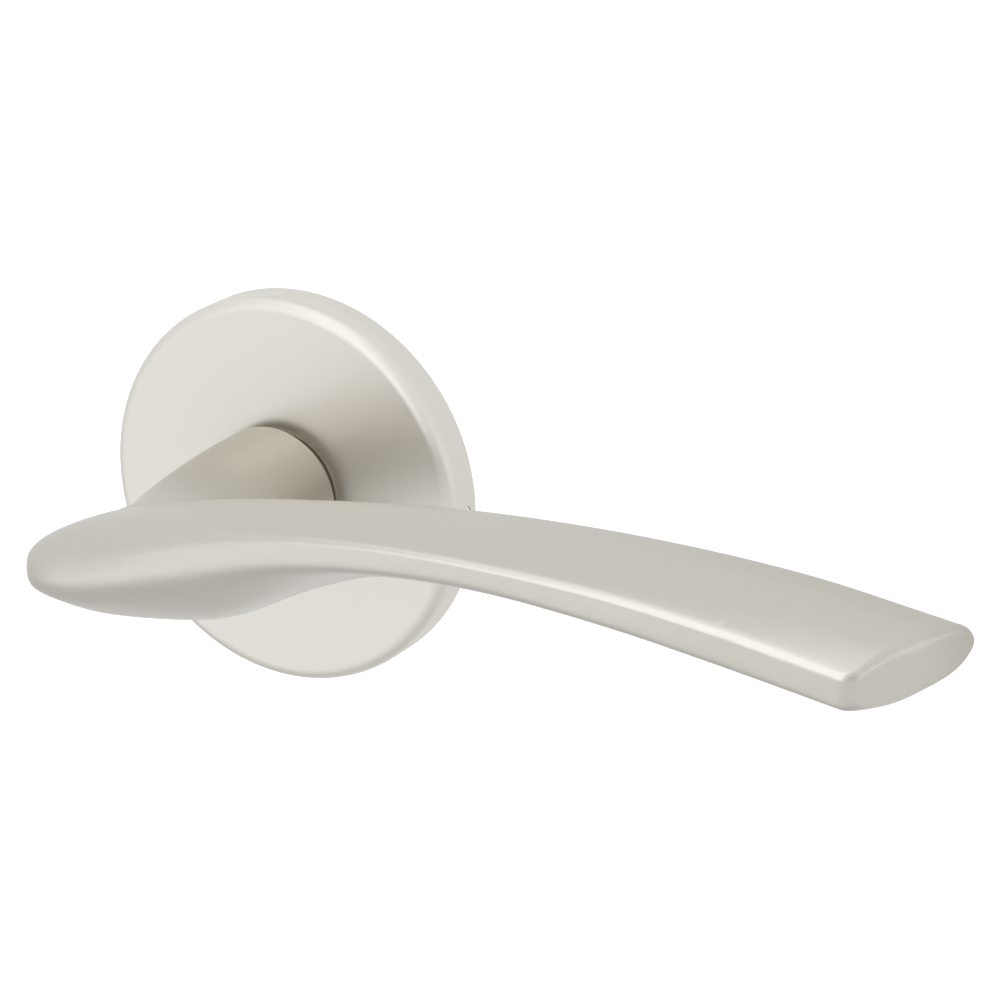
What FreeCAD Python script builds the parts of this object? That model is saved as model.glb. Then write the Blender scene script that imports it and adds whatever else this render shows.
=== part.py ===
import FreeCAD, Part
import Sketcher
import math
import os

# Sprung door lever handle on a round rose, in millimetres.
#
# +Y points into the door, +Z is up, and the grip runs along +X. The origin is the point
# where the spindle axis meets the door's face, so all that shows lies at negative Y and
# the spring housing, the fixing posts and the spindle reach into the door at positive Y.

doc = FreeCAD.newDocument("DoorLever")

# ---------------------------------------------------------------------------------------
# Driving dimensions: alias, value, meaning
# ---------------------------------------------------------------------------------------
DIMENSIONS = [
    ("RoseRadius", 32.5, "outer radius of the rose cover"),
    ("RoseDepth", 7.2, "how far the rose cover stands off the door"),
    ("RoseWall", 1.2, "sheet thickness of the rose cover"),
    ("RoseEdge", 2.0, "rounding of the rose cover's front edge"),
    ("RoseHoleGap", 1.1, "radial gap between the collar and the hole in the rose cover"),
    ("RoseScrewDepth", 2.7, "distance of the rose screw from the door"),
    ("RoseScrewHeight", 0.8, "height of the rose screw above the spindle axis"),
    ("RoseScrewRadius", 1.0, "thread radius of the rose screw"),
    ("RoseScrewLength", 5.0, "length of the rose screw"),
    ("RoseScrewSink", 0.15, "how far the rose screw lies below the rose's rim"),
    ("CoverGap", 0.3, "gap between the base plate's rim and the rose cover"),
    ("PlateThickness", 4.5, "thickness of the base plate"),
    ("NeckRadius", 11.9, "largest radius of the neck, near the rose"),
    ("NeckEndRadius", 9.4, "radius of the neck where it meets the grip"),
    ("NeckStandoff", 2.1, "gap between the rose's face and the neck's rear edge"),
    ("NeckEdge", 0.3, "rounding of the neck's rear edge"),
    ("CollarRadius", 10.4, "radius of the collar that joins the neck to the shank"),
    ("CollarGap", 0.1, "gap between the collar and the ring in the rose's hole"),
    ("RingFlange", 2.15, "how far the hole ring's flange reaches past the hole"),
    ("RingSetback", 0.3, "how far the hole ring lies below the rose's face"),
    ("ShankRadius", 8.0, "radius of the lever's shank"),
    ("FlatDepth", 1.0, "how deep the shank's two flats are cut"),
    ("RunningGap", 0.05, "radial clearance of all that turns"),
    ("FitGap", 0.02, "clearance of parts that are fitted and stay put"),
    ("HoleGap", 0.1, "clearance of holes that screws pass through"),
    ("CutMargin", 1.0, "how far a cut reaches past the faces that it opens"),
    ("BushWall", 1.5, "wall of the neck bush"),
    ("BushFlange", 1.0, "thickness of the neck bush's flange"),
    ("CupGap", 0.8, "room between the spring's legs and the cup's wall"),
    ("CupWall", 1.2, "wall of the spring cup"),
    ("CupDepth", 8.6, "depth of the spring cup behind the door's face"),
    ("CapThickness", 1.5, "thickness of the housing cap"),
    ("EarSink", 0.6, "how far the ears overlap the cup's wall"),
    ("EarRadius", 3.0, "radius of the ears round the cap screws"),
    ("CapScrewRadius", 1.25, "thread radius of the cap screws"),
    ("CapScrewLength", 7.0, "length of the cap screws below the head"),
    ("CapHeadRadius", 2.4, "head radius of the cap screws"),
    ("CapHeadHeight", 1.3, "head height of the cap screws"),
    ("SpringGap", 1.6, "room between the shank and the return spring's coil"),
    ("SpringWire", 1.2, "wire diameter of the return spring"),
    ("SpringTurns", 3.0, "turns of the return spring"),
    ("SpringStart", 1.0, "depth of the spring's first turn"),
    ("SpringEnd", 5.6, "depth of the spring's last turn"),
    ("LegGap", 0.4, "room between the spring's coil and its two legs"),
    ("LugWidth", 1.9, "width of the fixed lug and of the driver's tab"),
    ("LugLength", 2.9, "length of the fixed lug"),
    ("LugHeight", 1.6, "radial height of the lug and of the tab"),
    ("TabGap", 0.5, "room between the fixed lug and the driver's tab"),
    ("DriverDepth", 6.4, "depth of the driver plate's front face"),
    ("DriverThickness", 2.0, "thickness of the driver plate"),
    ("StopGap", 0.4, "room between the driver's stop ear and the cup's wall"),
    ("StopEarWidth", 3.4, "width of the driver's stop ear"),
    ("TravelAngle", 45.0, "turn of the lever each way in degrees"),
    ("StopPinRadius", 0.9, "radius of the stop pins"),
    ("StopPinGap", 0.3, "room between the stop pins and the spring's coil"),
    ("StopPinDepth", 2.0, "how deep the stop pins sit in the base plate"),
    ("StopMargin", 0.5, "degrees left between ear and pin at full turn"),
    ("WasherThickness", 0.8, "thickness of the thrust washer"),
    ("WasherRim", 3.5, "how far the thrust washer reaches past the shank"),
    ("DiscThickness", 0.5, "thickness of the disc spring"),
    ("DiscRise", 0.6, "height of the disc spring's cone"),
    ("DiscRim", 3.0, "how far the disc spring reaches past the shank"),
    ("RingThickness", 1.0, "thickness of the retaining ring"),
    ("RingRim", 2.2, "how far the retaining ring reaches past the shank"),
    ("GrooveDepth", 0.7, "depth of the retaining ring's groove"),
    ("ShankTail", 1.3, "shank left behind the retaining ring"),
    ("SeatGap", 0.05, "gap between faces that rub as the lever turns"),
    ("SpindleWidth", 8.0, "width of the square spindle"),
    ("SpindleReach", 36.0, "how far the spindle reaches into the door"),
    ("SpindleChamfer", 0.8, "chamfer on the spindle's free end"),
    ("SocketDepth", 22.0, "depth of the spindle socket in front of the door"),
    ("SocketGap", 0.5, "room between the spindle and the socket's bottom"),
    ("LeverScrewDepth", 16.0, "distance of the lever screw in front of the door"),
    ("LeverScrewRadius", 2.5, "thread radius of the lever screw"),
    ("LeverScrewLength", 6.4, "length of the lever screw"),
    ("PostPitch", 38.0, "distance between the two fixing posts"),
    ("PostRadius", 4.0, "radius of the fixing posts"),
    ("PostReach", 12.0, "how far the fixing posts reach into the door"),
    ("PostHeadRadius", 5.2, "radius of the fixing posts' heads"),
    ("PostHeadHeight", 1.4, "height of the fixing posts' heads"),
    ("PostBoltRadius", 2.1, "radius of the fixing posts' tapped holes"),
    ("PostBoltDepth", 13.0, "depth of the fixing posts' tapped holes"),
    ("TipReach", 118.8, "distance of the tip's front corner from the spindle axis"),
    ("NoseReach", 16.9, "distance of the nose's end from the spindle axis"),
    ("GripProjection", 57.0, "distance of the grip's front from the door"),
    ("GripDepth", 22.0, "depth of the grip, front to back"),
    ("GripRise", 1.0, "factor on all heights of the grip above the spindle axis"),
    ("TipSlant", 0.52, "slope of the tip's end face against the X axis"),
    ("SlantStart", 55.0, "where the cross-sections start to slant"),
    ("TipEdge", 2.1, "rounding of the tip's edges"),
    ("NoseDome", 0.4, "rise of the dome that ends the nose"),
]

sheet = doc.addObject("Spreadsheet::Sheet", "Sizes")
for row, (alias, value, meaning) in enumerate(DIMENSIONS, start=1):
    sheet.set(f"A{row}", meaning)
    sheet.set(f"B{row}", str(value))
    sheet.setAlias(f"B{row}", alias)
doc.recompute()


def size(alias):
    """The number in the sheet's cell."""
    return float(getattr(sheet, alias))


def value_of(expression):
    """The number that an expression on the sheet gives."""
    return float(sheet.evalExpression(expression))


# ---------------------------------------------------------------------------------------
# Building blocks
# ---------------------------------------------------------------------------------------
ALONG_Y = FreeCAD.Rotation(FreeCAD.Vector(1, 0, 0), -90)
ALONG_X = FreeCAD.Rotation(FreeCAD.Vector(0, 1, 0), 90)
UPRIGHT = FreeCAD.Rotation()
DIRECTIONS = ("DistanceX", "DistanceY")


def place(piece, rotation, x, y, z):
    """Turn a piece and bind its position to expressions."""
    piece.Placement = FreeCAD.Placement(FreeCAD.Vector(), rotation)
    piece.setExpression("Placement.Base.x", x)
    piece.setExpression("Placement.Base.y", y)
    piece.setExpression("Placement.Base.z", z)
    return piece


def rod(name, radius, length, start, x="0", z="0"):
    """Cylinder along +Y that starts at the depth given."""
    piece = doc.addObject("Part::Cylinder", name)
    piece.setExpression("Radius", radius)
    piece.setExpression("Height", length)
    return place(piece, ALONG_Y, x, start, z)


def block(name, width, depth, height, x, y, z):
    """Box with its low corner at x, y, z."""
    piece = doc.addObject("Part::Box", name)
    piece.setExpression("Length", width)
    piece.setExpression("Width", depth)
    piece.setExpression("Height", height)
    return place(piece, UPRIGHT, x, y, z)


def hexagon(name, radius, length, rotation, x, y, z):
    """Hexagonal prism, for a socket."""
    piece = doc.addObject("Part::Prism", name)
    piece.Polygon = 6
    piece.setExpression("Circumradius", radius)
    piece.setExpression("Height", length)
    return place(piece, rotation, x, y, z)


def cut(name, base, *tools):
    """Base with every tool taken away."""
    tool = tools[0]
    if len(tools) > 1:
        tool = fuse(name + "Tools", *tools)
    piece = doc.addObject("Part::Cut", name)
    piece.Base = base
    piece.Tool = tool
    return piece


def fuse(name, *pieces):
    """All pieces as one solid."""
    piece = doc.addObject("Part::MultiFuse", name)
    piece.Shapes = list(pieces)
    return piece


def turned(name, outline):
    """Body turned about the spindle axis. The outline lists (radius, depth) expressions."""
    body = doc.addObject("PartDesign::Body", name)
    sketch = body.newObject("Sketcher::SketchObject", name + "Profile")
    planes = [plane for plane in body.Origin.OriginFeatures if plane.Role == "XY_Plane"]
    sketch.AttachmentSupport = (planes[0], [""])
    sketch.MapMode = "FlatFace"
    corners = [(value_of(radius), value_of(depth)) for radius, depth in outline]
    count = len(corners)
    for index, corner in enumerate(corners):
        start = FreeCAD.Vector(corner[0], corner[1], 0)
        following = corners[(index + 1) % count]
        end = FreeCAD.Vector(following[0], following[1], 0)
        sketch.addGeometry(Part.LineSegment(start, end), False)
    for index in range(count):
        joined = Sketcher.Constraint("Coincident", index, 2, (index + 1) % count, 1)
        sketch.addConstraint(joined)
    for index, expressions in enumerate(outline):
        for kind, number, expression in zip(DIRECTIONS, corners[index], expressions):
            pinned = Sketcher.Constraint(kind, -1, 1, index, 1, number)
            sketch.setExpression(f"Constraints[{sketch.addConstraint(pinned)}]", expression)
    turn = body.newObject("PartDesign::Revolution", name + "Turn")
    turn.Profile = sketch
    turn.ReferenceAxis = (sketch, ["V_Axis"])
    turn.Angle = 360
    return body


# ---------------------------------------------------------------------------------------
# Depths and radii that several pieces share
# ---------------------------------------------------------------------------------------
PLATE_FRONT = "-Sizes.PlateThickness"
COVER_INSIDE = "-(Sizes.RoseDepth - Sizes.RoseWall)"
SHOULDER = "-(Sizes.PlateThickness + Sizes.BushFlange + Sizes.SeatGap)"
BEARING = "Sizes.ShankRadius + Sizes.RunningGap"
BUSH_OUTER = "Sizes.ShankRadius + Sizes.RunningGap + Sizes.BushWall"
PLATE_RIM = "Sizes.RoseRadius - Sizes.RoseWall - Sizes.CoverGap"
ROSE_HOLE = "Sizes.CollarRadius + Sizes.RoseHoleGap"
FLAT_REACH = "(Sizes.ShankRadius - Sizes.FlatDepth)"
GROOVE_RADIUS = "(Sizes.ShankRadius - Sizes.GrooveDepth)"
COIL_RADIUS = "(Sizes.ShankRadius + Sizes.SpringGap + Sizes.SpringWire / 2)"
COIL_OUTER = "(Sizes.ShankRadius + Sizes.SpringGap + Sizes.SpringWire)"
LEG_RADIUS = f"({COIL_RADIUS} + Sizes.SpringWire + Sizes.LegGap)"
CUP_RADIUS = f"({LEG_RADIUS} + Sizes.SpringWire / 2 + Sizes.CupGap)"
CUP_OUTER = f"({CUP_RADIUS} + Sizes.CupWall)"
EAR_REACH = f"({CUP_OUTER} + Sizes.EarRadius - Sizes.EarSink)"
STOP_REACH = f"({CUP_RADIUS} - Sizes.StopGap)"
STOP_CIRCLE = f"({COIL_OUTER} + Sizes.StopPinGap + Sizes.StopPinRadius)"
CAP_BACK = "Sizes.CupDepth + Sizes.CapThickness"
WASHER_FRONT = CAP_BACK + " + Sizes.SeatGap"
WASHER_BACK = WASHER_FRONT + " + Sizes.WasherThickness"
DISC_FRONT = WASHER_BACK + " + Sizes.FitGap"
DISC_BACK = DISC_FRONT + " + Sizes.DiscRise + Sizes.DiscThickness"
RING_FRONT = DISC_BACK + " + Sizes.FitGap"
SHANK_END = RING_FRONT + " + Sizes.RingThickness + Sizes.ShankTail"
LUG_LOW = f"({LEG_RADIUS} - Sizes.LugHeight / 2)"
DRIVER_BACK = "Sizes.DriverDepth + Sizes.DriverThickness"
FLAT_START = "Sizes.DriverDepth - Sizes.FitGap"
PIN_ANGLE = (
    "(Sizes.TravelAngle + Sizes.StopMargin) * 1 deg"
    f" + asin((Sizes.StopEarWidth / 2 + Sizes.StopPinRadius) / {STOP_CIRCLE})"
)
ROSE_SCREW_END = "Sizes.RoseRadius - Sizes.RoseScrewSink"
LEVER_SCREW_TOP = "-(Sizes.SpindleWidth / 2 + Sizes.FitGap)"
SIDES = (("left", "-"), ("right", ""))
LEVELS = (("upper", ""), ("lower", "-"))


# ---------------------------------------------------------------------------------------
# Rose: cover, ring in its hole, base plate with the spring cup
# ---------------------------------------------------------------------------------------
def make_rose_cover():
    """Cup of sheet metal with a rounded front edge and a hole for its grub screw."""
    cup = turned("CoverCup", [
        (ROSE_HOLE, "-Sizes.RoseDepth"),
        ("Sizes.RoseRadius", "-Sizes.RoseDepth"),
        ("Sizes.RoseRadius", "0"),
        ("Sizes.RoseRadius - Sizes.RoseWall", "0"),
        ("Sizes.RoseRadius - Sizes.RoseWall", COVER_INSIDE),
        (ROSE_HOLE, COVER_INSIDE),
    ])
    doc.recompute()
    turn = cup.Tip
    front_edge = find_edge(turn.Shape, size("RoseRadius"), -size("RoseDepth"))
    rounding = cup.newObject("PartDesign::Fillet", "CoverEdge")
    rounding.Base = (turn, [front_edge])
    rounding.setExpression("Radius", "Sizes.RoseEdge")
    cup.Tip = rounding
    screw_hole = doc.addObject("Part::Cylinder", "CoverScrewHole")
    screw_hole.setExpression("Radius", "Sizes.RoseScrewRadius + Sizes.HoleGap")
    screw_hole.setExpression("Height", "Sizes.RoseRadius")
    place(screw_hole, ALONG_X, "Sizes.RoseRadius / 2", "-Sizes.RoseScrewDepth", "Sizes.RoseScrewHeight")
    return cut("CoverCut", cup, screw_hole)


def find_edge(shape, radius, depth):
    """Name of the circular edge of this radius at this depth."""
    for index, edge in enumerate(shape.Edges, start=1):
        circle = edge.Curve
        if not isinstance(circle, Part.Circle):
            continue
        if abs(circle.Radius - radius) < 1e-4 and abs(circle.Center.y - depth) < 1e-4:
            return f"Edge{index}"
    raise ValueError(f"no circular edge of radius {radius} at depth {depth}")


def make_rose_hole_ring():
    """Dark nylon ring between the cover's hole and the neck."""
    inner = "Sizes.CollarRadius + Sizes.CollarGap"
    front = "-Sizes.RoseDepth + Sizes.RingSetback"
    step = COVER_INSIDE + " + Sizes.FitGap"
    back = PLATE_FRONT + " - Sizes.FitGap"
    return turned("HoleRing", [
        (inner, front),
        (ROSE_HOLE + " - Sizes.FitGap", front),
        (ROSE_HOLE + " - Sizes.FitGap", step),
        (ROSE_HOLE + " + Sizes.RingFlange", step),
        (ROSE_HOLE + " + Sizes.RingFlange", back),
        (inner, back),
    ])


def make_base_plate():
    """Disc behind the cover, with the spring cup, its lug and two ears at the back."""
    disc = turned("PlateDisc", [
        (BUSH_OUTER + " + Sizes.FitGap", PLATE_FRONT),
        (PLATE_RIM, PLATE_FRONT),
        (PLATE_RIM, "0"),
        (CUP_OUTER, "0"),
        (CUP_OUTER, "Sizes.CupDepth"),
        (CUP_RADIUS, "Sizes.CupDepth"),
        (CUP_RADIUS, "0"),
        (BUSH_OUTER + " + Sizes.FitGap", "0"),
    ])
    lug = block(
        "PlateLug", "Sizes.LugWidth", "Sizes.LugLength + Sizes.StopPinDepth", "Sizes.LugHeight",
        "-Sizes.LugWidth / 2", "-Sizes.StopPinDepth", LUG_LOW,
    )
    added = [disc, lug]
    removed = []
    for side, sign in SIDES:
        ear_x = sign + EAR_REACH
        added.append(rod(f"PlateEar_{side}", "Sizes.EarRadius",
                         "Sizes.CupDepth + Sizes.StopPinDepth", "-Sizes.StopPinDepth", x=ear_x))
        removed.append(rod(f"PlateEarHole_{side}", "Sizes.CapScrewRadius + Sizes.FitGap",
                           "Sizes.CapScrewLength", CAP_BACK + " - Sizes.CapScrewLength - Sizes.FitGap",
                           x=ear_x))
        removed.append(rod(f"PlatePinHole_{side}", "Sizes.StopPinRadius + Sizes.FitGap",
                           "Sizes.StopPinDepth * 2", "-Sizes.StopPinDepth - Sizes.FitGap",
                           x=f"{sign}{STOP_CIRCLE} * sin({PIN_ANGLE})",
                           z=f"-{STOP_CIRCLE} * cos({PIN_ANGLE})"))
    for level, sign in LEVELS:
        post_z = sign + "Sizes.PostPitch / 2"
        removed.append(rod(f"PlatePostHole_{level}", "Sizes.PostRadius + Sizes.FitGap",
                           "Sizes.PlateThickness + Sizes.CupDepth + Sizes.CutMargin * 2",
                           PLATE_FRONT + " - Sizes.CutMargin", z=post_z))
        removed.append(rod(f"PlatePostSeat_{level}", "Sizes.PostHeadRadius + Sizes.FitGap",
                           "Sizes.PostHeadHeight + Sizes.CutMargin",
                           PLATE_FRONT + " - Sizes.CutMargin", z=post_z))
    screw_hole = doc.addObject("Part::Cylinder", "PlateScrewHole")
    screw_hole.setExpression("Radius", "Sizes.RoseScrewRadius + Sizes.FitGap")
    screw_hole.setExpression("Height", "Sizes.RoseScrewLength * 2")
    place(screw_hole, ALONG_X, ROSE_SCREW_END + " - Sizes.RoseScrewLength - Sizes.FitGap",
          "-Sizes.RoseScrewDepth", "Sizes.RoseScrewHeight")
    removed.append(screw_hole)
    return cut("PlateCut", fuse("PlateSolid", *added), *removed)


def make_neck_bush():
    """Flanged nylon bush in which the shank turns."""
    return turned("NeckBush", [
        (BEARING, PLATE_FRONT + " - Sizes.BushFlange"),
        ("Sizes.CollarRadius - Sizes.CollarGap", PLATE_FRONT + " - Sizes.BushFlange"),
        ("Sizes.CollarRadius - Sizes.CollarGap", PLATE_FRONT),
        (BUSH_OUTER, PLATE_FRONT),
        (BUSH_OUTER, "0"),
        (BEARING, "0"),
    ])


# A grub screw's hexagon socket, as shares of the screw's radius and length.
SOCKET_RADIUS = 0.58
SOCKET_DEPTH = 0.45


def make_grub_screw(name, radius, length, rotation, x, y, z):
    """Threaded pin with a hexagon socket in the end at x, y, z."""
    pin = doc.addObject("Part::Cylinder", name + "Pin")
    pin.setExpression("Radius", radius)
    pin.setExpression("Height", length)
    place(pin, rotation, x, y, z)
    socket = hexagon(name + "Socket", f"{radius} * {SOCKET_RADIUS}", f"{length} * {SOCKET_DEPTH}",
                     rotation, x, y, z)
    return cut(name + "Cut", pin, socket)


def make_rose_set_screw():
    """Grub screw that holds the cover on the base plate."""
    inward = ALONG_X.multiply(FreeCAD.Rotation(FreeCAD.Vector(1, 0, 0), 180))
    return make_grub_screw("RoseScrew", "Sizes.RoseScrewRadius", "Sizes.RoseScrewLength", inward,
                           ROSE_SCREW_END, "-Sizes.RoseScrewDepth", "Sizes.RoseScrewHeight")


def make_post(level, sign):
    """Fixing post with a countersunk head, tapped from its inner end for a bolt."""
    post_z = sign + "Sizes.PostPitch / 2"
    head = rod(f"PostHead_{level}", "Sizes.PostHeadRadius", "Sizes.PostHeadHeight",
               PLATE_FRONT, z=post_z)
    sleeve = rod(f"PostSleeve_{level}", "Sizes.PostRadius",
                 "Sizes.PostReach + Sizes.PlateThickness", PLATE_FRONT, z=post_z)
    thread = rod(f"PostThread_{level}", "Sizes.PostBoltRadius",
                 "Sizes.PostBoltDepth + Sizes.CutMargin",
                 "Sizes.PostReach - Sizes.PostBoltDepth", z=post_z)
    return cut(f"PostCut_{level}", fuse(f"PostSolid_{level}", head, sleeve), thread)


# ---------------------------------------------------------------------------------------
# Spring housing behind the door's face
# ---------------------------------------------------------------------------------------
# The spring's bends are a little thicker than its wire and its legs a little thinner, and the
# coil's ends run a few degrees past the legs, so that each leg cuts cleanly into the coil.
BEND = 1.04
LEG = 0.9
OVERRUN = 2.5


def make_return_spring():
    """Torsion spring: a coil whose two legs grip the fixed lug and the driver's tab."""
    wire = size("SpringWire") / 2
    coil_radius = value_of(COIL_RADIUS)
    leg_radius = value_of(LEG_RADIUS)
    start = size("SpringStart")
    height = size("SpringEnd") - start
    side = size("LugWidth") / 2 + wire + size("RunningGap")
    lean = math.degrees(math.asin(side / leg_radius))
    turns = size("SpringTurns") - 2 * (lean - OVERRUN) / 360
    path = Part.makeHelix(height / turns, height, coil_radius)
    section = Part.makeCircle(wire, FreeCAD.Vector(coil_radius, 0, 0), FreeCAD.Vector(0, 1, 0))
    spring = Part.Wire(path).makePipeShell([Part.Wire([section])], True, True)
    spring.rotate(FreeCAD.Vector(), FreeCAD.Vector(0, 0, 1), lean - OVERRUN)
    legs = (
        (lean, 0.0, size("DriverDepth") - start - 2 * wire),
        (-lean, height, -(height + wire)),
    )
    for angle, level, reach in legs:
        outward = FreeCAD.Rotation(FreeCAD.Vector(0, 0, 1), angle).multVec(FreeCAD.Vector(1, 0, 0))
        foot = outward * coil_radius + FreeCAD.Vector(0, 0, level)
        knee = outward * leg_radius + FreeCAD.Vector(0, 0, level)
        axis = FreeCAD.Vector(0, 0, math.copysign(1, reach))
        leg = Part.makeCylinder(wire * LEG, leg_radius - coil_radius, foot, outward)
        leg = leg.fuse(Part.makeSphere(wire * BEND, knee))
        leg = leg.fuse(Part.makeCylinder(wire, abs(reach), knee, axis))
        spring = spring.fuse(leg)
    feature = doc.addObject("Part::Feature", "SpringShape")
    feature.Shape = spring
    # The helix was built along Z with the legs at +X: it turns along Y with the legs on top.
    legs_on_top = ALONG_Y.multiply(FreeCAD.Rotation(FreeCAD.Vector(0, 0, 1), -90))
    feature.Placement = FreeCAD.Placement(FreeCAD.Vector(0, start, 0), legs_on_top)
    return feature


def make_driver_plate():
    """Plate on the shank's flats, with the tab that winds the spring and the stop ear."""
    disc = rod("DriverDisc", COIL_OUTER, "Sizes.DriverThickness", "Sizes.DriverDepth")
    tab = block(
        "DriverTab", "Sizes.LugWidth", f"{DRIVER_BACK} - Sizes.LugLength - Sizes.TabGap",
        "Sizes.LugHeight", "-Sizes.LugWidth / 2", "Sizes.LugLength + Sizes.TabGap", LUG_LOW,
    )
    arm = block(
        "DriverArm", "Sizes.LugWidth", "Sizes.DriverThickness",
        f"{LUG_LOW} + Sizes.LugHeight - Sizes.ShankRadius - Sizes.SpringGap / 2",
        "-Sizes.LugWidth / 2", "Sizes.DriverDepth", "Sizes.ShankRadius + Sizes.SpringGap / 2",
    )
    ear = block(
        "DriverEar", "Sizes.StopEarWidth", "Sizes.DriverThickness",
        f"{STOP_REACH} - Sizes.ShankRadius - Sizes.SpringGap / 2",
        "-Sizes.StopEarWidth / 2", "Sizes.DriverDepth", "-" + STOP_REACH,
    )
    bore = rod("DriverBore", "Sizes.ShankRadius + Sizes.FitGap", "Sizes.CupDepth", "Sizes.SpringEnd")
    flats = block(
        "DriverFlats", f"({FLAT_REACH} + Sizes.FitGap) * 2", "Sizes.CupDepth",
        "Sizes.ShankRadius * 4", f"-({FLAT_REACH} + Sizes.FitGap)", "Sizes.SpringEnd",
        "-Sizes.ShankRadius * 2",
    )
    opening = doc.addObject("Part::Common", "DriverOpening")
    opening.Base = bore
    opening.Tool = flats
    return cut("DriverCut", fuse("DriverSolid", disc, tab, arm, ear), opening)


def make_stop_pin(side, sign):
    """Pin in the base plate that the driver's ear meets at full turn."""
    return rod(f"StopPin_{side}", "Sizes.StopPinRadius",
               f"{DRIVER_BACK} + Sizes.StopPinDepth", "-Sizes.StopPinDepth",
               x=f"{sign}{STOP_CIRCLE} * sin({PIN_ANGLE})",
               z=f"-{STOP_CIRCLE} * cos({PIN_ANGLE})")


def make_housing_cap():
    """Lid of the spring cup, and the shank's rear bearing."""
    lid = rod("CapDisc", CUP_OUTER, "Sizes.CapThickness", "Sizes.CupDepth")
    bridge = block("CapBridge", EAR_REACH + " * 2", "Sizes.CapThickness", "Sizes.EarRadius * 2",
                   "-" + EAR_REACH, "Sizes.CupDepth", "-Sizes.EarRadius")
    added = [lid, bridge]
    through = ("Sizes.CapThickness + Sizes.CutMargin * 2", "Sizes.CupDepth - Sizes.CutMargin")
    removed = [rod("CapBore", BEARING, *through)]
    for side, sign in SIDES:
        ear_x = sign + EAR_REACH
        added.append(rod(f"CapEar_{side}", "Sizes.EarRadius", "Sizes.CapThickness",
                         "Sizes.CupDepth", x=ear_x))
        removed.append(rod(f"CapEarHole_{side}", "Sizes.CapScrewRadius + Sizes.HoleGap",
                           *through, x=ear_x))
    for level, sign in LEVELS:
        removed.append(rod(f"CapPostHole_{level}", "Sizes.PostRadius + Sizes.FitGap",
                           *through, z=sign + "Sizes.PostPitch / 2"))
    return cut("CapCut", fuse("CapSolid", *added), *removed)


# The cross in a cap screw's head, as shares of the head's radius.
CROSS_WIDTH = 0.3
CROSS_LENGTH = 1.3


def make_cap_screw(side, sign):
    """Cross-slotted screw that holds the cap on the cup's ears."""
    ear_x = sign + EAR_REACH
    thread = rod(f"CapThread_{side}", "Sizes.CapScrewRadius",
                 "Sizes.CapScrewLength + Sizes.CapHeadHeight / 2",
                 CAP_BACK + " - Sizes.CapScrewLength", x=ear_x)
    head = rod(f"CapHead_{side}", "Sizes.CapHeadRadius", "Sizes.CapHeadHeight", CAP_BACK, x=ear_x)
    slot_width = f"Sizes.CapHeadRadius * {CROSS_WIDTH}"
    slot_length = f"Sizes.CapHeadRadius * {CROSS_LENGTH}"
    slot_start = CAP_BACK + " + Sizes.CapHeadHeight / 2"
    wide = block(f"CapSlotWide_{side}", slot_length, "Sizes.CapHeadHeight", slot_width,
                 f"{ear_x} - {slot_length} / 2", slot_start, f"-{slot_width} / 2")
    tall = block(f"CapSlotTall_{side}", slot_width, "Sizes.CapHeadHeight", slot_length,
                 f"{ear_x} - {slot_width} / 2", slot_start, f"-{slot_length} / 2")
    return cut(f"CapScrewCut_{side}", fuse(f"CapScrewSolid_{side}", thread, head), wide, tall)


def make_thrust_washer():
    """Flat washer that rubs on the cap."""
    return turned("ThrustWasher", [
        (BEARING, WASHER_FRONT),
        ("Sizes.ShankRadius + Sizes.WasherRim", WASHER_FRONT),
        ("Sizes.ShankRadius + Sizes.WasherRim", WASHER_BACK),
        (BEARING, WASHER_BACK),
    ])


def make_disc_spring():
    """Coned washer that takes up the end play."""
    return turned("DiscSpring", [
        (BEARING, DISC_FRONT + " + Sizes.DiscRise"),
        ("Sizes.ShankRadius + Sizes.DiscRim", DISC_FRONT),
        ("Sizes.ShankRadius + Sizes.DiscRim", DISC_FRONT + " + Sizes.DiscThickness"),
        (BEARING, DISC_BACK),
    ])


# Width of the retaining ring's mouth, as a share of the groove's diameter.
RING_MOUTH = 0.35


def make_retaining_ring():
    """Open ring that snaps into the shank's groove."""
    inner = GROOVE_RADIUS + " + Sizes.FitGap"
    outer = "Sizes.ShankRadius + Sizes.RingRim"
    ring = turned("RetainingRing", [
        (inner, RING_FRONT),
        (outer, RING_FRONT),
        (outer, RING_FRONT + " + Sizes.RingThickness"),
        (inner, RING_FRONT + " + Sizes.RingThickness"),
    ])
    mouth = block("RingMouth", f"{GROOVE_RADIUS} * {RING_MOUTH} * 2", "Sizes.RingThickness * 3",
                  "Sizes.ShankRadius * 4", f"-{GROOVE_RADIUS} * {RING_MOUTH}",
                  RING_FRONT + " - Sizes.RingThickness", "-Sizes.ShankRadius * 4")
    return cut("RingCut", ring, mouth)


# ---------------------------------------------------------------------------------------
# Spindle and lever
# ---------------------------------------------------------------------------------------
def make_spindle():
    """Square bar from the lever's socket into the lock."""
    bar = block("SpindleBar", "Sizes.SpindleWidth",
                "Sizes.SpindleReach + Sizes.SocketDepth - Sizes.SocketGap", "Sizes.SpindleWidth",
                "-Sizes.SpindleWidth / 2", "-Sizes.SocketDepth + Sizes.SocketGap",
                "-Sizes.SpindleWidth / 2")
    doc.recompute()
    reach = size("SpindleReach")
    chamfer = size("SpindleChamfer")
    ends = [
        index
        for index, edge in enumerate(bar.Shape.Edges, start=1)
        if abs(edge.CenterOfMass.y - reach) < 1e-6
    ]
    bevelled = doc.addObject("Part::Chamfer", "SpindleEnd")
    bevelled.Base = bar
    bevelled.Edges = [(index, chamfer, chamfer) for index in ends]
    return bevelled


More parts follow.
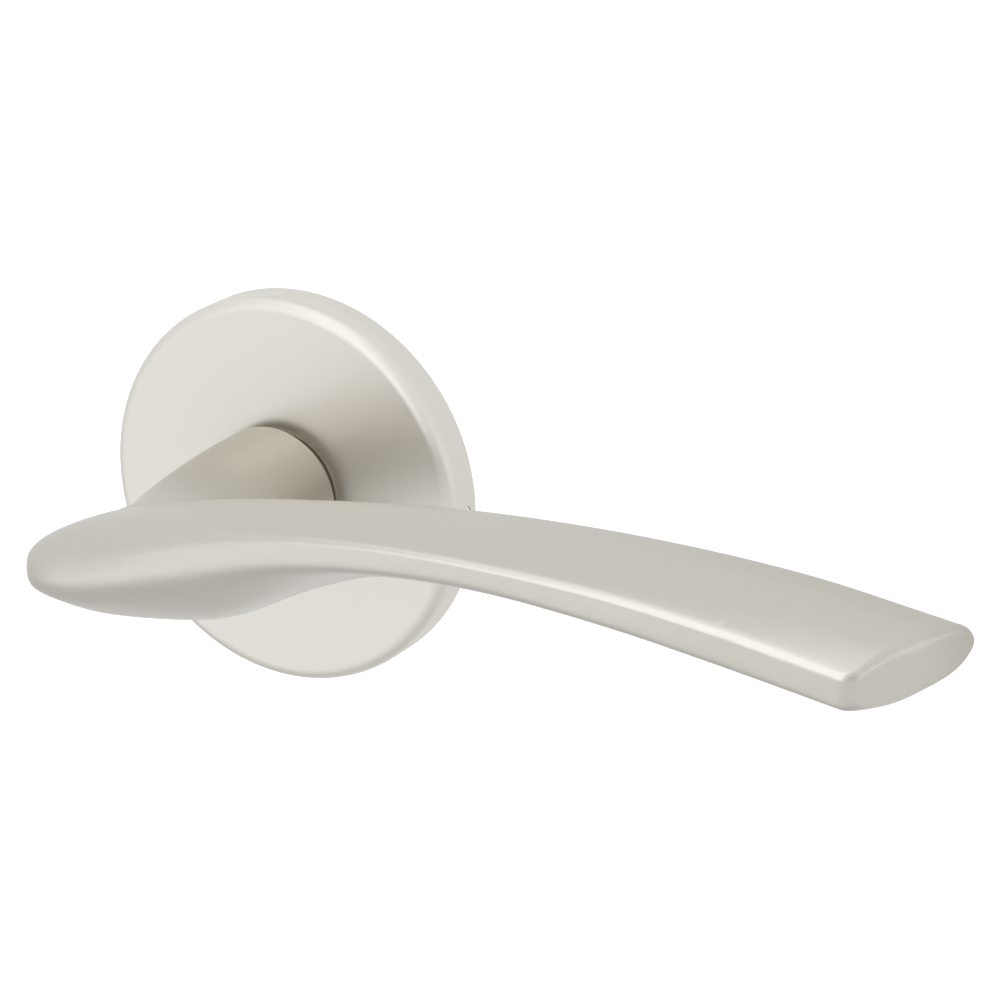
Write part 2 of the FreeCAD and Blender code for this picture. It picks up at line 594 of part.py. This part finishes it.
# Cross-sections of the grip from the nose to the tip. The first number is the station, as a
# share of NoseReach (negative) or TipReach (positive). The corners that follow go round the
# section from the front ridge over the top: depth behind the front as a share of GripDepth,
# and height above the spindle axis. The last two say how far the ridge and the lower front
# corner are rounded, as a share of the sides beside them.
GRIP_SECTIONS = [
    (-1.00, (.21, 0.3), (.25, 0.6), (.29, 0.3), (.31, -0.5),
     (.29, -1.3), (.25, -1.6), (.21, -1.3), .49, .49),
    (-0.95, (.13, 1.8), (.25, 2.7), (.38, 1.9), (.44, -0.6),
     (.39, -3.3), (.26, -4.0), (.12, -2.8), .48, .48),
    (-0.76, (.07, 3.9), (.25, 5.4), (.53, 4.4), (.65, -0.8),
     (.56, -5.8), (.31, -6.4), (.03, -3.2), .46, .46),
    (-0.38, (.04, 6.3), (.28, 8.2), (.68, 7.4), (.88, -0.6),
     (.79, -8.4), (.39, -8.6), (-.03, -2.4), .42, .44),
    (0.034, (.00, 9.0), (.29, 10.9), (.77, 10.4), (1.02, 0.8),
     (.85, -9.6), (.39, -7.6), (-.06, 0.6), .36, .42),
    (0.134, (-.01, 11.6), (.31, 13.3), (.81, 12.6), (.99, 4.3),
     (.82, -6.4), (.39, -5.0), (-.05, 4.2), .28, .40),
    (0.252, (.00, 13.9), (.33, 15.2), (.84, 14.4), (.98, 9.2),
     (.82, 1.4), (.39, 1.6), (-.02, 8.2), .23, .36),
    (0.387, (.02, 15.3), (.36, 16.6), (.88, 15.9), (1.01, 12.6),
     (.86, 8.3), (.43, 7.3), (.01, 10.6), .20, .30),
    (0.538, (.05, 15.4), (.41, 16.9), (.92, 16.8), (1.05, 13.8),
     (.91, 9.9), (.48, 8.3), (.05, 11.0), .20, .28),
    (0.706, (.10, 14.2), (.45, 16.2), (.97, 16.7), (1.10, 13.4),
     (.95, 8.7), (.52, 6.4), (.09, 9.2), .18, .26),
    (0.857, (.14, 11.8), (.50, 14.4), (1.02, 15.2), (1.15, 11.6),
     (1.00, 7.0), (.55, 4.1), (.14, 6.2), .18, .26),
    (1.000, (.18, 8.6), (.52, 11.8), (1.02, 12.3), (1.14, 8.9),
     (.98, 4.5), (.57, 1.9), (.18, 3.0), .18, .26),
]
SOFT_CORNER = 0.45
CORNER_STEPS = (0.0, 0.34, 0.66, 1.0)
# Distance between neighbouring cross-sections of the finished grip.
STATION_GAP = 6.0
END_STEPS = (0, 25, 50, 70, 90)
DOME_STEPS = (0, 30, 55, 75)
# Circular cross-sections of the neck: how far each lies along the neck, as a share of the way
# from its rear edge to the grip. Its radius falls with the square of that share.
NECK_SHARES = (0.0, 0.1, 0.2, 0.3, 0.4, 0.5, 0.6, 0.7, 0.8, 0.9, 1.0)
# Where the neck meets the grip, as a share of GripDepth behind the grip's front.
NECK_MEETS_GRIP = 0.76
# The neck's root inside the grip leans towards the nose. Each row gives a cross-section's
# depth behind the grip's front as a share of GripDepth, and its shift towards the nose, its
# half width and its half height as shares of NeckEndRadius.
NECK_ROOT = (
    (.64, .07, 1.04, .95),
    (.52, .18, 1.09, .84),
    (.41, .32, 1.10, .68),
    (.33, .38, 1.02, .53),
)


def rounded_outline(corners, setbacks):
    """Points of a polygon whose corners are parabolic arcs that start a setback before them."""
    points = []
    count = len(corners)
    for index, (depth, height) in enumerate(corners):
        before = corners[index - 1]
        after = corners[(index + 1) % count]
        setback = setbacks[index]
        enter = (depth + setback * (before[0] - depth), height + setback * (before[1] - height))
        leave = (depth + setback * (after[0] - depth), height + setback * (after[1] - height))
        for step in CORNER_STEPS:
            weights = ((1 - step) ** 2, 2 * step * (1 - step), step ** 2)
            knots = (enter, (depth, height), leave)
            points.append(tuple(
                sum(weight * knot[axis] for weight, knot in zip(weights, knots)) for axis in (0, 1)
            ))
    return points


def station_of(share):
    """Place along X of a share of the grip's reach."""
    return share * (size("NoseReach") if share < 0 else size("TipReach"))


def slope_at(index, places, values):
    """Slope of a smooth curve through values at one of its places."""
    low = max(index - 1, 0)
    high = min(index + 1, len(places) - 1)
    return (values[high] - values[low]) / (places[high] - places[low])


def smooth_value(places, values, place):
    """Value at a place on the cubic curve that runs through all the values."""
    index = 0
    while index < len(places) - 2 and place > places[index + 1]:
        index += 1
    width = places[index + 1] - places[index]
    part = (place - places[index]) / width
    start_slope = slope_at(index, places, values) * width
    end_slope = slope_at(index + 1, places, values) * width
    return (values[index] * (1 + 2 * part) * (1 - part) ** 2
            + values[index + 1] * part ** 2 * (3 - 2 * part)
            + start_slope * part * (1 - part) ** 2
            - end_slope * part ** 2 * (1 - part))


def sections_along():
    """Cross-sections at close stations, on smooth curves through those of the table."""
    places = [station_of(section[0]) for section in GRIP_SECTIONS]
    flat = [[number for corner in section[1:8] for number in corner] + list(section[8:])
            for section in GRIP_SECTIONS]
    stations = []
    for start, end in zip(places, places[1:]):
        pieces = max(1, round((end - start) / STATION_GAP))
        stations.extend(start + (end - start) * step / pieces for step in range(pieces))
    stations.append(places[-1])
    sections = []
    for station in stations:
        numbers = [smooth_value(places, column, station) for column in zip(*flat)]
        corners = list(zip(numbers[0:14:2], numbers[1:14:2]))
        sections.append((station, corners, numbers[14], numbers[15]))
    return sections


def grip_points(section):
    """Points round one cross-section, slanted towards the tip."""
    station, corners, ridge_setback, front_setback = section
    setbacks = [ridge_setback] + [SOFT_CORNER] * (len(corners) - 2) + [front_setback]
    front = -size("GripProjection")
    hinge = front + GRIP_SECTIONS[-1][1][0] * size("GripDepth")
    progress = max(0.0, (station - size("SlantStart")) / (size("TipReach") - size("SlantStart")))
    slope = size("TipSlant") * progress ** 2
    places = [(front + share_back * size("GripDepth"), height * size("GripRise"))
              for share_back, height in corners]
    return [FreeCAD.Vector(station + slope * (depth - hinge), depth, height)
            for depth, height in rounded_outline(places, setbacks)]


def smooth_wire(points):
    """Closed smooth curve through the points."""
    curve = Part.BSplineCurve()
    curve.interpolate(Points=points, PeriodicFlag=True)
    return Part.Wire([curve.toShape()])


def rounded_end(points, radius, outward):
    """Cap on an end of the grip whose rim is rounded by a quarter circle."""
    centre = sum(points, FreeCAD.Vector()) * (1 / len(points))
    wires = []
    for turn in END_STEPS:
        inset = radius * (1 - math.cos(math.radians(turn)))
        advance = FreeCAD.Vector(outward * radius * math.sin(math.radians(turn)), 0, 0)
        wires.append(smooth_wire([
            point + advance - (point - centre).normalize() * inset for point in points
        ]))
    return Part.makeLoft(wires, True, False)


def domed_end(points, rise, outward):
    """Cap on an end of the grip that closes in a shallow dome."""
    centre = sum(points, FreeCAD.Vector()) * (1 / len(points))
    wires = []
    for turn in DOME_STEPS:
        advance = FreeCAD.Vector(outward * rise * math.sin(math.radians(turn)), 0, 0)
        shrink = math.cos(math.radians(turn))
        wires.append(smooth_wire([centre + advance + (point - centre) * shrink for point in points]))
    return Part.makeLoft(wires, True, False)


def ellipse_across(depth, shift, half_width, half_height):
    """Elliptical outline across the neck; the shift moves it towards the nose."""
    steps = [2 * math.pi * step / 16 for step in range(16)]
    return smooth_wire([
        FreeCAD.Vector(half_width * math.cos(turn) - shift, depth, half_height * math.sin(turn))
        for turn in steps
    ])


def make_neck():
    """Neck that narrows from its rear edge to the grip, with its root and its collar."""
    widest = size("NeckRadius")
    narrowest = size("NeckEndRadius")
    rear = -size("RoseDepth") - size("NeckStandoff")
    front = -size("GripProjection")
    end = front + NECK_MEETS_GRIP * size("GripDepth")
    wires = []
    for share in NECK_SHARES:
        radius = widest - (widest - narrowest) * share ** 2
        wires.append(ellipse_across(rear + (end - rear) * share, 0, radius, radius))
    for depth, shift, half_width, half_height in NECK_ROOT:
        wires.append(ellipse_across(front + depth * size("GripDepth"), shift * narrowest,
                                    half_width * narrowest, half_height * narrowest))
    neck = Part.makeLoft(wires, True, False)
    rear_edges = [edge for edge in neck.Edges if abs(edge.CenterOfMass.y - rear) < 1e-3]
    neck = neck.makeFillet(size("NeckEdge"), rear_edges)
    shoulder = value_of(SHOULDER)
    collar = Part.makeCylinder(size("CollarRadius"), shoulder - rear + size("CutMargin"),
                               FreeCAD.Vector(0, shoulder, 0), FreeCAD.Vector(0, -1, 0))
    return neck.fuse(collar)


def make_lever():
    """Grip, neck and shank in one casting, with the spindle socket and the screw hole."""
    outlines = [grip_points(section) for section in sections_along()]
    grip = Part.makeLoft([smooth_wire(points) for points in outlines], True, False)
    tip = rounded_end(outlines[-1], size("TipEdge"), 1)
    nose = domed_end(outlines[0], size("NoseDome"), -1)
    casting = grip.multiFuse([tip, nose, make_neck()])
    feature = doc.addObject("Part::Feature", "LeverCasting")
    feature.Shape = casting.removeSplitter()
    feature.Placement = FreeCAD.Placement()

    shank = rod("LeverShank", "Sizes.ShankRadius", f"{SHANK_END} - ({SHOULDER}) + Sizes.CutMargin",
                f"{SHOULDER} - Sizes.CutMargin")
    socket_width = "(Sizes.SpindleWidth + Sizes.RunningGap * 2)"
    socket = block("LeverSocket", socket_width,
                   f"{SHANK_END} + Sizes.SocketDepth + Sizes.CutMargin", socket_width,
                   f"-{socket_width} / 2", "-Sizes.SocketDepth", f"-{socket_width} / 2")
    screw_hole = doc.addObject("Part::Cylinder", "LeverScrewHole")
    screw_hole.setExpression("Radius", "Sizes.LeverScrewRadius + Sizes.FitGap")
    screw_hole.setExpression("Height", "Sizes.NeckRadius + Sizes.CutMargin")
    place(screw_hole, UPRIGHT, "0", "-Sizes.LeverScrewDepth", "-(Sizes.NeckRadius + Sizes.CutMargin)")
    groove_outer = rod("GrooveOuter", "Sizes.ShankRadius + Sizes.CutMargin",
                       "Sizes.RingThickness + Sizes.FitGap * 2", RING_FRONT + " - Sizes.FitGap")
    groove_core = rod("GrooveCore", GROOVE_RADIUS, "Sizes.RingThickness * 3",
                      RING_FRONT + " - Sizes.RingThickness")
    removed = [socket, screw_hole, cut("GrooveBand", groove_outer, groove_core)]
    for side, low in (("left", f"-{FLAT_REACH} - Sizes.ShankRadius"), ("right", FLAT_REACH)):
        removed.append(block(f"LeverFlat_{side}", "Sizes.ShankRadius", f"{SHANK_END} + Sizes.CutMargin",
                             "Sizes.ShankRadius * 4", low, FLAT_START, "-Sizes.ShankRadius * 2"))
    return cut("LeverCut", fuse("LeverSolid", feature, shank), *removed)


def make_lever_set_screw():
    """Grub screw from below that clamps the spindle in the lever."""
    return make_grub_screw("LeverScrew", "Sizes.LeverScrewRadius", "Sizes.LeverScrewLength", UPRIGHT,
                           "0", "-Sizes.LeverScrewDepth",
                           f"{LEVER_SCREW_TOP} - Sizes.LeverScrewLength")


# ---------------------------------------------------------------------------------------
# The assembly
# ---------------------------------------------------------------------------------------
nodes = {
    "lever": make_lever(),
    "lever_set_screw": make_lever_set_screw(),
    "spindle": make_spindle(),
    "rose_cover": make_rose_cover(),
    "rose_hole_ring": make_rose_hole_ring(),
    "rose_set_screw": make_rose_set_screw(),
    "base_plate": make_base_plate(),
    "neck_bush": make_neck_bush(),
    "return_spring": make_return_spring(),
    "driver_plate": make_driver_plate(),
    "housing_cap": make_housing_cap(),
    "thrust_washer": make_thrust_washer(),
    "disc_spring": make_disc_spring(),
    "retaining_ring": make_retaining_ring(),
}
for side, sign in SIDES:
    nodes[f"stop_pin_{side}"] = make_stop_pin(side, sign)
    nodes[f"cap_screw_{side}"] = make_cap_screw(side, sign)
for level, sign in LEVELS:
    nodes[f"{level}_post"] = make_post(level, sign)
for name, node in nodes.items():
    node.Label = name
doc.recompute()

for item in doc.Objects:
    if "Invalid" in item.State or "Error" in item.State:
        raise RuntimeError(f"{item.Name} is {item.State}")
for name, node in nodes.items():
    if node.Shape.isNull() or not node.Shape.isValid():
        raise RuntimeError(f"{name} has no valid shape")
    if len(node.Shape.Solids) != 1:
        raise RuntimeError(f"{name} has {len(node.Shape.Solids)} solids")

os.makedirs("parts", exist_ok=True)
for name, node in nodes.items():
    node.Shape.exportStep(f"parts/{name}.step")
    box = node.Shape.BoundBox
    print(f"{name}: {node.Shape.Volume:.1f} mm3, x {box.XMin:.2f} {box.XMax:.2f},"
          f" y {box.YMin:.2f} {box.YMax:.2f}, z {box.ZMin:.2f} {box.ZMax:.2f}")
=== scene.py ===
"""Looks of a door lever handle in satin nickel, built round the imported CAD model."""

import math

import bpy
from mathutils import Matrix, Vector

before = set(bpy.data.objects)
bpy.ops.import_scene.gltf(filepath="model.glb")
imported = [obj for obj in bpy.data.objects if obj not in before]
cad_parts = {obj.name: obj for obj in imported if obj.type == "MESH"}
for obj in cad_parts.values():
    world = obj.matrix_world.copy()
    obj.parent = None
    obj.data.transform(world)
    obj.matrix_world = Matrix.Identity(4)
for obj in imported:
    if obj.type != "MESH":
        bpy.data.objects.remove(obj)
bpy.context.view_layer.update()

MM = 0.001
GRAIN_DEPTH = 0.02 * MM
SKIN_DEPTH = 0.03 * MM
FLOOR_REACH = 6.0
FLOOR_LEVEL = -0.35
FLOOR_LAMP = 2.0

ROOM_LEVEL = 0.84
SOFTBOX_LEVEL = 0.85
SOFTBOX_AZIMUTH = -10.0
SOFTBOX_CORE = 6.0
SOFTBOX_REACH = 26.0
SOFTBOX_FOOT = -4.0
SOFTBOX_HEAD = 70.0
SOFTBOX_FADE = 10.0
# Patches of the studio: azimuth, elevation, core and reach in degrees, change of level.
PATCHES = (
    (-50, 75, 10, 32, 0.40),
    (-80, -55, 22, 55, -0.15),
    (-160, -42, 8, 34, 0.10),
    (60, -65, 10, 40, -0.17),
    (-40, -22, 8, 24, 0.33),
    (42, 10, 6, 24, -0.30),
    (85, 8, 10, 26, 0.20),
    (-35, -44, 6, 16, 0.15),
)

CAMERA_AZIMUTH = 29.2
CAMERA_ELEVATION = 19.6
CAMERA_PLACE = (0.29272, -0.45768, 0.18966)
CAMERA_LENS = 126.0
CAMERA_SENSOR = 36.0


# ---------------------------------------------------------------------------------------
# Materials
# ---------------------------------------------------------------------------------------
def new_material(name):
    """Empty node material with its Principled shader."""
    material = bpy.data.materials.new(name)
    material.use_nodes = True
    nodes = material.node_tree.nodes
    return material, nodes, material.node_tree.links, nodes["Principled BSDF"]


def satin_metal(name, colour, roughness, anisotropy, stretch, grain):
    """Brushed metal: fine streaks vary its roughness, its colour and its bump a little."""
    material, nodes, links, shader = new_material(name)
    shader.inputs["Metallic"].default_value = 1.0
    shader.inputs["Anisotropic"].default_value = anisotropy
    place = nodes.new("ShaderNodeTexCoord")
    mapping = nodes.new("ShaderNodeMapping")
    mapping.inputs["Scale"].default_value = stretch
    links.new(place.outputs["Object"], mapping.inputs["Vector"])
    streaks = nodes.new("ShaderNodeTexNoise")
    streaks.inputs["Scale"].default_value = 1.0
    streaks.inputs["Detail"].default_value = 4.0
    links.new(mapping.outputs["Vector"], streaks.inputs["Vector"])
    rough = nodes.new("ShaderNodeMapRange")
    rough.inputs["To Min"].default_value = roughness - 0.05
    rough.inputs["To Max"].default_value = roughness + 0.05
    links.new(streaks.outputs["Fac"], rough.inputs["Value"])
    links.new(rough.outputs["Result"], shader.inputs["Roughness"])
    tint = nodes.new("ShaderNodeMix")
    tint.data_type = "RGBA"
    tint.inputs["A"].default_value = (*[channel * 0.97 for channel in colour], 1.0)
    tint.inputs["B"].default_value = (*[min(1.0, channel * 1.03) for channel in colour], 1.0)
    links.new(streaks.outputs["Fac"], tint.inputs["Factor"])
    links.new(tint.outputs["Result"], shader.inputs["Base Color"])
    bump = nodes.new("ShaderNodeBump")
    bump.inputs["Strength"].default_value = grain
    bump.inputs["Distance"].default_value = GRAIN_DEPTH
    links.new(streaks.outputs["Fac"], bump.inputs["Height"])
    links.new(bump.outputs["Normal"], shader.inputs["Normal"])
    return material


def plated(name, colour, roughness, patch):
    """Plated or drawn steel: cloudy patches of a second tone, and a faint grain."""
    material, nodes, links, shader = new_material(name)
    shader.inputs["Metallic"].default_value = 1.0
    place = nodes.new("ShaderNodeTexCoord")
    clouds = nodes.new("ShaderNodeTexNoise")
    clouds.inputs["Scale"].default_value = 180.0
    clouds.inputs["Detail"].default_value = 3.0
    links.new(place.outputs["Object"], clouds.inputs["Vector"])
    tint = nodes.new("ShaderNodeMix")
    tint.data_type = "RGBA"
    tint.inputs["A"].default_value = (*colour, 1.0)
    tint.inputs["B"].default_value = (*patch, 1.0)
    links.new(clouds.outputs["Fac"], tint.inputs["Factor"])
    links.new(tint.outputs["Result"], shader.inputs["Base Color"])
    rough = nodes.new("ShaderNodeMapRange")
    rough.inputs["To Min"].default_value = roughness - 0.08
    rough.inputs["To Max"].default_value = roughness + 0.08
    links.new(clouds.outputs["Fac"], rough.inputs["Value"])
    links.new(rough.outputs["Result"], shader.inputs["Roughness"])
    grain = nodes.new("ShaderNodeTexNoise")
    grain.inputs["Scale"].default_value = 2500.0
    links.new(place.outputs["Object"], grain.inputs["Vector"])
    bump = nodes.new("ShaderNodeBump")
    bump.inputs["Strength"].default_value = 0.15
    bump.inputs["Distance"].default_value = GRAIN_DEPTH
    links.new(grain.outputs["Fac"], bump.inputs["Height"])
    links.new(bump.outputs["Normal"], shader.inputs["Normal"])
    return material


def moulded(name, colour):
    """Matt moulded nylon with a fine pebbled skin."""
    material, nodes, links, shader = new_material(name)
    place = nodes.new("ShaderNodeTexCoord")
    skin = nodes.new("ShaderNodeTexNoise")
    skin.inputs["Scale"].default_value = 1500.0
    skin.inputs["Detail"].default_value = 2.0
    links.new(place.outputs["Object"], skin.inputs["Vector"])
    tint = nodes.new("ShaderNodeMix")
    tint.data_type = "RGBA"
    tint.inputs["A"].default_value = (*[channel * 0.8 for channel in colour], 1.0)
    tint.inputs["B"].default_value = (*[channel * 1.2 for channel in colour], 1.0)
    links.new(skin.outputs["Fac"], tint.inputs["Factor"])
    links.new(tint.outputs["Result"], shader.inputs["Base Color"])
    shader.inputs["Roughness"].default_value = 0.6
    bump = nodes.new("ShaderNodeBump")
    bump.inputs["Strength"].default_value = 0.3
    bump.inputs["Distance"].default_value = SKIN_DEPTH
    links.new(skin.outputs["Fac"], bump.inputs["Height"])
    links.new(bump.outputs["Normal"], shader.inputs["Normal"])
    return material


def paint_neck_shade(material, shade, front, rear):
    """Paint shade into a finish little by little between two planes across Y, from front to rear:
    painted shade, darkest towards the rose.
    """
    nodes = material.node_tree.nodes
    links = material.node_tree.links
    base = nodes["Principled BSDF"].inputs["Base Color"]
    bright = base.links[0].from_socket
    place = nodes.new("ShaderNodeTexCoord")
    axes = nodes.new("ShaderNodeSeparateXYZ")
    links.new(place.outputs["Object"], axes.inputs["Vector"])
    ramp = nodes.new("ShaderNodeMapRange")
    ramp.interpolation_type = "SMOOTHSTEP"
    ramp.inputs["From Min"].default_value = front
    ramp.inputs["From Max"].default_value = rear
    links.new(axes.outputs["Y"], ramp.inputs["Value"])
    mix = nodes.new("ShaderNodeMix")
    mix.data_type = "RGBA"
    mix.blend_type = "MULTIPLY"
    mix.inputs["B"].default_value = (*shade, 1.0)
    links.new(ramp.outputs["Result"], mix.inputs["Factor"])
    links.new(bright, mix.inputs["A"])
    links.new(mix.outputs["Result"], base)


LEVER_NICKEL = (0.665, 0.642, 0.595)
# The rose's nickel is the lever's plating made lighter: its brushed finish is real, the extra
# lightness is painted light.
ROSE_NICKEL_PAINTED_LIGHTER = (0.83, 0.806, 0.757)
# Painted shade on the neck: the lever's nickel is darkened towards the rose to stand in for the
# shade and dark reflections there.
NECK_SHADE = (0.84, 0.82, 0.78)
NECK_FRONT = -44 * MM
NECK_REAR = -30 * MM
SATIN = satin_metal("satin_lever", LEVER_NICKEL, 0.32, 0.0, (120, 1400, 1400), 0.05)
# Painted shade: the lever's finish darkens along the neck towards the rose.
paint_neck_shade(SATIN, NECK_SHADE, NECK_FRONT, NECK_REAR)
BRUSHED = satin_metal("brushed_rose", ROSE_NICKEL_PAINTED_LIGHTER, 0.43, 0.6, (2600, 300, 160), 0.12)
ZINC = plated("zinc_plate", (0.50, 0.51, 0.53), 0.38, (0.60, 0.60, 0.60))
DRAWN = plated("drawn_steel", (0.55, 0.55, 0.56), 0.30, (0.62, 0.61, 0.60))
SPRING = plated("oiled_spring_steel", (0.22, 0.21, 0.21), 0.35, (0.32, 0.31, 0.30))
BRIGHT = plated("bright_screw", (0.86, 0.85, 0.83), 0.22, (0.92, 0.91, 0.89))
BLACK = plated("black_oxide", (0.045, 0.045, 0.05), 0.45, (0.09, 0.09, 0.095))
# Dark nylon made lighter: painted light lifting the shaded gap between the neck and the rose.
NYLON = moulded("nylon_painted_lighter", (0.36, 0.31, 0.245))
FINISHES = {
    "lever": SATIN,
    "rose_cover": BRUSHED,
    "rose_set_screw": BRIGHT,
    "lever_set_screw": BLACK,
    "spindle": DRAWN,
}
for node in ("rose_hole_ring", "neck_bush"):
    FINISHES[node] = NYLON
for node in ("return_spring", "disc_spring", "retaining_ring", "stop_pin_left", "stop_pin_right"):
    FINISHES[node] = SPRING
for node in ("base_plate", "housing_cap", "driver_plate", "thrust_washer", "cap_screw_left",
             "cap_screw_right", "upper_post", "lower_post"):
    FINISHES[node] = ZINC
for node, material in FINISHES.items():
    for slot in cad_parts[node].material_slots:
        slot.material = material

# ---------------------------------------------------------------------------------------
# Floor, light and camera
# ---------------------------------------------------------------------------------------
def add_floor(reach, level):
    """Square white floor; the metal mirrors the studio round it, not the floor."""
    mesh = bpy.data.meshes.new("floor")
    corners = [
        (-reach, -reach, level),
        (reach, -reach, level),
        (reach, reach, level),
        (-reach, reach, level),
    ]
    mesh.from_pydata(corners, [], [(0, 1, 2, 3)])
    floor = bpy.data.objects.new("floor", mesh)
    bpy.context.scene.collection.objects.link(floor)
    material, nodes, links, shader = new_material("floor_white")
    shader.inputs["Base Color"].default_value = (0.9, 0.9, 0.9, 1)
    shader.inputs["Roughness"].default_value = 1.0
    mesh.materials.append(material)
    floor.visible_glossy = False


def add_floor_lamp(strength):
    """Soft light from above that reaches the floor and leaves no mirror image in the metal."""
    lamp = bpy.data.lights.new("floor_lamp", "SUN")
    lamp.energy = strength
    lamp.angle = math.radians(60)
    lamp.use_shadow = False
    holder = bpy.data.objects.new("floor_lamp", lamp)
    holder.visible_glossy = False
    bpy.context.scene.collection.objects.link(holder)


class Sums:
    """Writes a node tree's arithmetic as plain calls."""

    def __init__(self, tree):
        self.nodes = tree.nodes
        self.links = tree.links

    def put(self, socket, value):
        """Give a socket a number or another node's output."""
        if isinstance(value, (int, float)):
            socket.default_value = value
        else:
            self.links.new(value, socket)

    def math(self, operation, *values):
        """Result of one operation on numbers."""
        node = self.nodes.new("ShaderNodeMath")
        node.operation = operation
        for socket, value in zip(node.inputs, values):
            self.put(socket, value)
        return node.outputs[0]

    def dot(self, vector, fixed):
        """Dot product of a vector output with a fixed vector."""
        node = self.nodes.new("ShaderNodeVectorMath")
        node.operation = "DOT_PRODUCT"
        self.links.new(vector, node.inputs[0])
        node.inputs[1].default_value = fixed
        return node.outputs["Value"]

    def step(self, value, low, high):
        """Smooth rise from 0 at low to 1 at high."""
        node = self.nodes.new("ShaderNodeMapRange")
        node.interpolation_type = "SMOOTHSTEP"
        self.put(node.inputs["Value"], value)
        node.inputs["From Min"].default_value = low
        node.inputs["From Max"].default_value = high
        return node.outputs["Result"]


def heading(azimuth, elevation):
    """Unit vector; the azimuth runs from the front (-Y) towards +X, both angles in degrees."""
    azimuth = math.radians(azimuth)
    elevation = math.radians(elevation)
    level = math.cos(elevation)
    return (math.sin(azimuth) * level, -math.cos(azimuth) * level, math.sin(elevation))


def studio_world():
    """Grey studio with a tall softbox in front and round patches of light or shade."""
    world = bpy.data.worlds.new("studio")
    world.use_nodes = True
    tree = world.node_tree
    sums = Sums(tree)
    direction = tree.nodes.new("ShaderNodeTexCoord").outputs["Generated"]
    axes = tree.nodes.new("ShaderNodeSeparateXYZ")
    tree.links.new(direction, axes.inputs["Vector"])
    x, y, z = axes.outputs
    to_degrees = 180 / math.pi
    forward = sums.math("MULTIPLY", y, -1.0)
    azimuth = sums.math("MULTIPLY", sums.math("ARCTAN2", x, forward), to_degrees)
    elevation = sums.math("MULTIPLY", sums.math("ARCSINE", z), to_degrees)
    off_strip = sums.math("ABSOLUTE", sums.math("SUBTRACT", azimuth, SOFTBOX_AZIMUTH))
    across = sums.step(off_strip, SOFTBOX_REACH, SOFTBOX_CORE)
    above = sums.step(elevation, SOFTBOX_FOOT - SOFTBOX_FADE, SOFTBOX_FOOT + SOFTBOX_FADE)
    below = sums.step(elevation, SOFTBOX_HEAD + SOFTBOX_FADE, SOFTBOX_HEAD - SOFTBOX_FADE)
    upwards = sums.math("MULTIPLY", above, below)
    strip = sums.math("MULTIPLY", sums.math("MULTIPLY", across, upwards), SOFTBOX_LEVEL)
    level = sums.math("ADD", ROOM_LEVEL, strip)
    for patch_azimuth, patch_elevation, core, reach, change in PATCHES:
        along = sums.dot(direction, heading(patch_azimuth, patch_elevation))
        angle = sums.math("MULTIPLY", sums.math("ARCCOSINE", along), to_degrees)
        patch = sums.math("MULTIPLY", sums.step(angle, reach, core), change)
        level = sums.math("ADD", level, patch)
    background = tree.nodes["Background"]
    background.inputs["Color"].default_value = (1.0, 0.998, 0.99, 1.0)
    tree.links.new(level, background.inputs["Strength"])
    bpy.context.scene.world = world


add_floor(FLOOR_REACH, FLOOR_LEVEL)
add_floor_lamp(FLOOR_LAMP)
studio_world()
bpy.context.scene.view_settings.view_transform = "Standard"

back = Vector(heading(CAMERA_AZIMUTH, CAMERA_ELEVATION))
camera_data = bpy.data.cameras.new("camera")
camera_data.lens = CAMERA_LENS
camera_data.sensor_width = CAMERA_SENSOR
camera = bpy.data.objects.new("camera", camera_data)
bpy.context.scene.collection.objects.link(camera)
camera.location = CAMERA_PLACE
camera.rotation_mode = "QUATERNION"
camera.rotation_quaternion = (-back).to_track_quat("-Z", "Y")
camera_data.clip_start = 0.01
camera_data.clip_end = 50.0
bpy.context.scene.camera = camera
